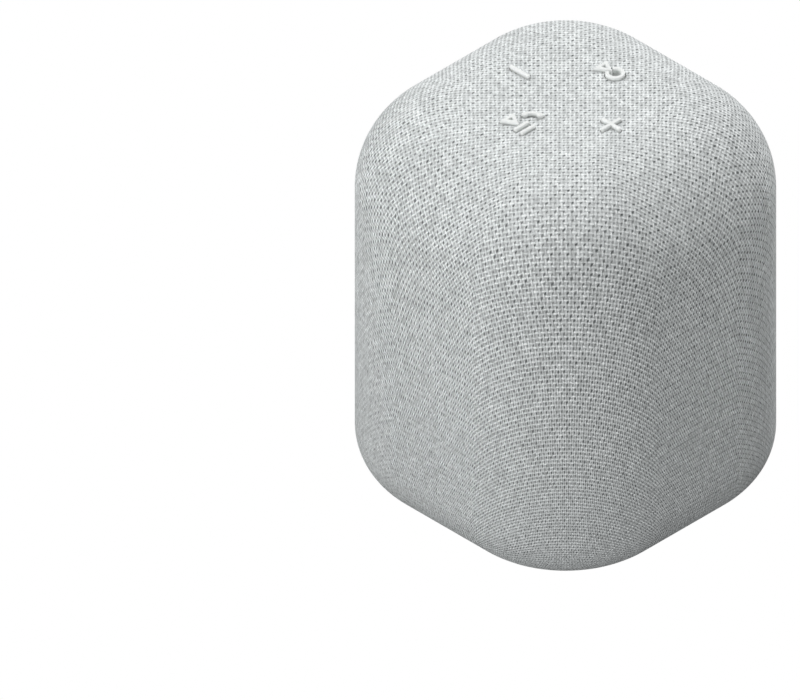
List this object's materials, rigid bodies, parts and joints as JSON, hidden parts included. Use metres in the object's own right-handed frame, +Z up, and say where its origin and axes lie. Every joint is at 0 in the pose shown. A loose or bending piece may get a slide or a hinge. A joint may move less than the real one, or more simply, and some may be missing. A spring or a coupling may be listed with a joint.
{
  "type": "smart speaker",
  "caption": "Compact upright wireless speaker with a rounded square body wrapped in woven cloth, tactile top keys, a rear key panel and a closed driver cabinet inside",
  "frame": {"origin": "on the supporting surface under the middle of the foot", "axes": "+Z up, the front faces -Y, +X is the object's right-hand side seen from the front"},
  "size_m": [0.089, 0.089, 0.1109],
  "materials": {
    "woven_cloth": "pale cool grey open weave",
    "shell_plastic": "moulded, fine matt",
    "key_plastic": "smooth, satin",
    "foot_rubber": "soft matt",
    "silicone": "smooth matt",
    "gasket_foam": "closed-cell foam",
    "cabinet_plastic": "moulded",
    "driver_rubber": "smooth",
    "cone_paper": "pressed fibre",
    "coil_copper": "wound copper on a former",
    "magnet_ferrite": "ferrite",
    "plated_steel": "zinc plated",
    "board_laminate": "solder mask",
    "component_plastic": "moulded",
    "ribbon_film": "film",
    "cell_wrap": "shrink sleeve"
  },
  "bodies": {
    "housing": {"base_bowl": "shell_plastic", "battery_board": "board_laminate", "battery_cells": "cell_wrap", "battery_lead": "driver_rubber", "battery_pad": "gasket_foam", "battery_tray": "cabinet_plastic", "board_components": "component_plastic", "bottom_plate": "shell_plastic", "bottom_screws": "plated_steel", "cabinet_body": "cabinet_plastic", "cabinet_floor": "cabinet_plastic", "cabinet_seal": "gasket_foam", "chassis_screws": "plated_steel", "control_board": "board_laminate", "control_board_screws": "plated_steel", "control_ribbon": "ribbon_film", "fabric_sleeve": "woven_cloth", "foot_pad": "foot_rubber", "grille_shell": "shell_plastic", "key_mat": "silicone", "main_board": "board_laminate", "main_board_screws": "plated_steel", "microphones": "plated_steel", "radiator_frame_left": "cabinet_plastic", "radiator_frame_right": "cabinet_plastic", "radiator_gasket_left": "gasket_foam", "radiator_gasket_right": "gasket_foam", "radiator_screws": "plated_steel", "radiator_surround_left": "driver_rubber", "radiator_surround_right": "driver_rubber", "rear_cover": "shell_plastic", "rear_cover_screws": "plated_steel", "rear_domes": "silicone", "rear_panel": "shell_plastic", "shield_can": "plated_steel", "tweeter_housing": "cabinet_plastic", "tweeter_magnet": "magnet_ferrite", "tweeter_surround": "driver_rubber", "usb_shell": "plated_steel", "usb_tongue": "component_plastic", "woofer_basket": "plated_steel", "woofer_gasket": "gasket_foam", "woofer_magnet": "magnet_ferrite", "woofer_screws": "plated_steel", "woofer_spider": "cone_paper", "woofer_surround": "driver_rubber", "woofer_top_plate": "plated_steel", "woofer_yoke": "plated_steel"},
    "key_minus_body": {"key_minus": "key_plastic"},
    "key_plus_body": {"key_plus": "key_plastic"},
    "key_play_body": {"key_play": "key_plastic"},
    "key_quick_body": {"key_quick": "key_plastic"},
    "power_key_body": {"power_key": "key_plastic"},
    "pairing_key_body": {"pairing_key": "key_plastic"},
    "woofer_moving": {"woofer_cone": "cone_paper", "woofer_dust_cap": "cone_paper", "voice_coil": "coil_copper"},
    "tweeter_moving": {"tweeter_dome": "cone_paper"},
    "radiator_left_moving": {"radiator_plate_left": "plated_steel"},
    "radiator_right_moving": {"radiator_plate_right": "plated_steel"}
  },
  "joints": [
    {"name": "key_minus_press", "type": "slide", "parent": "housing", "child": "key_minus_body", "axis": [0, 0, -1], "range_m": [0, 0.0004], "stiffness_N_per_m": 1500, "deforming": ["key_mat"]},
    {"name": "key_plus_press", "type": "slide", "parent": "housing", "child": "key_plus_body", "axis": [0, 0, -1], "range_m": [0, 0.0004], "stiffness_N_per_m": 1500, "deforming": ["key_mat"]},
    {"name": "key_play_press", "type": "slide", "parent": "housing", "child": "key_play_body", "axis": [0, 0, -1], "range_m": [0, 0.0004], "stiffness_N_per_m": 1500, "deforming": ["key_mat"]},
    {"name": "key_quick_press", "type": "slide", "parent": "housing", "child": "key_quick_body", "axis": [0, 0, -1], "range_m": [0, 0.0004], "stiffness_N_per_m": 1500, "deforming": ["key_mat"]},
    {"name": "power_key_press", "type": "slide", "parent": "housing", "child": "power_key_body", "axis": [0, -1, 0], "range_m": [0, 0.0004], "stiffness_N_per_m": 1500, "deforming": ["rear_domes"]},
    {"name": "pairing_key_press", "type": "slide", "parent": "housing", "child": "pairing_key_body", "axis": [0, -1, 0], "range_m": [0, 0.0004], "stiffness_N_per_m": 1500, "deforming": ["rear_domes"]},
    {"name": "woofer_stroke", "type": "slide", "parent": "housing", "child": "woofer_moving", "axis": [0, -1, 0], "range_m": [-0.0025, 0.0025], "stiffness_N_per_m": 1500, "deforming": ["woofer_surround", "woofer_spider"]},
    {"name": "tweeter_stroke", "type": "slide", "parent": "housing", "child": "tweeter_moving", "axis": [0, -1, 0], "range_m": [-0.0003, 0.0003], "stiffness_N_per_m": 1500, "deforming": ["tweeter_surround"]},
    {"name": "radiator_left_stroke", "type": "slide", "parent": "housing", "child": "radiator_left_moving", "axis": [-1, 0, 0], "range_m": [-0.004, 0.004], "stiffness_N_per_m": 700, "deforming": ["radiator_surround_left"]},
    {"name": "radiator_right_stroke", "type": "slide", "parent": "housing", "child": "radiator_right_moving", "axis": [1, 0, 0], "range_m": [-0.004, 0.004], "stiffness_N_per_m": 700, "deforming": ["radiator_surround_right"]}
  ]
}
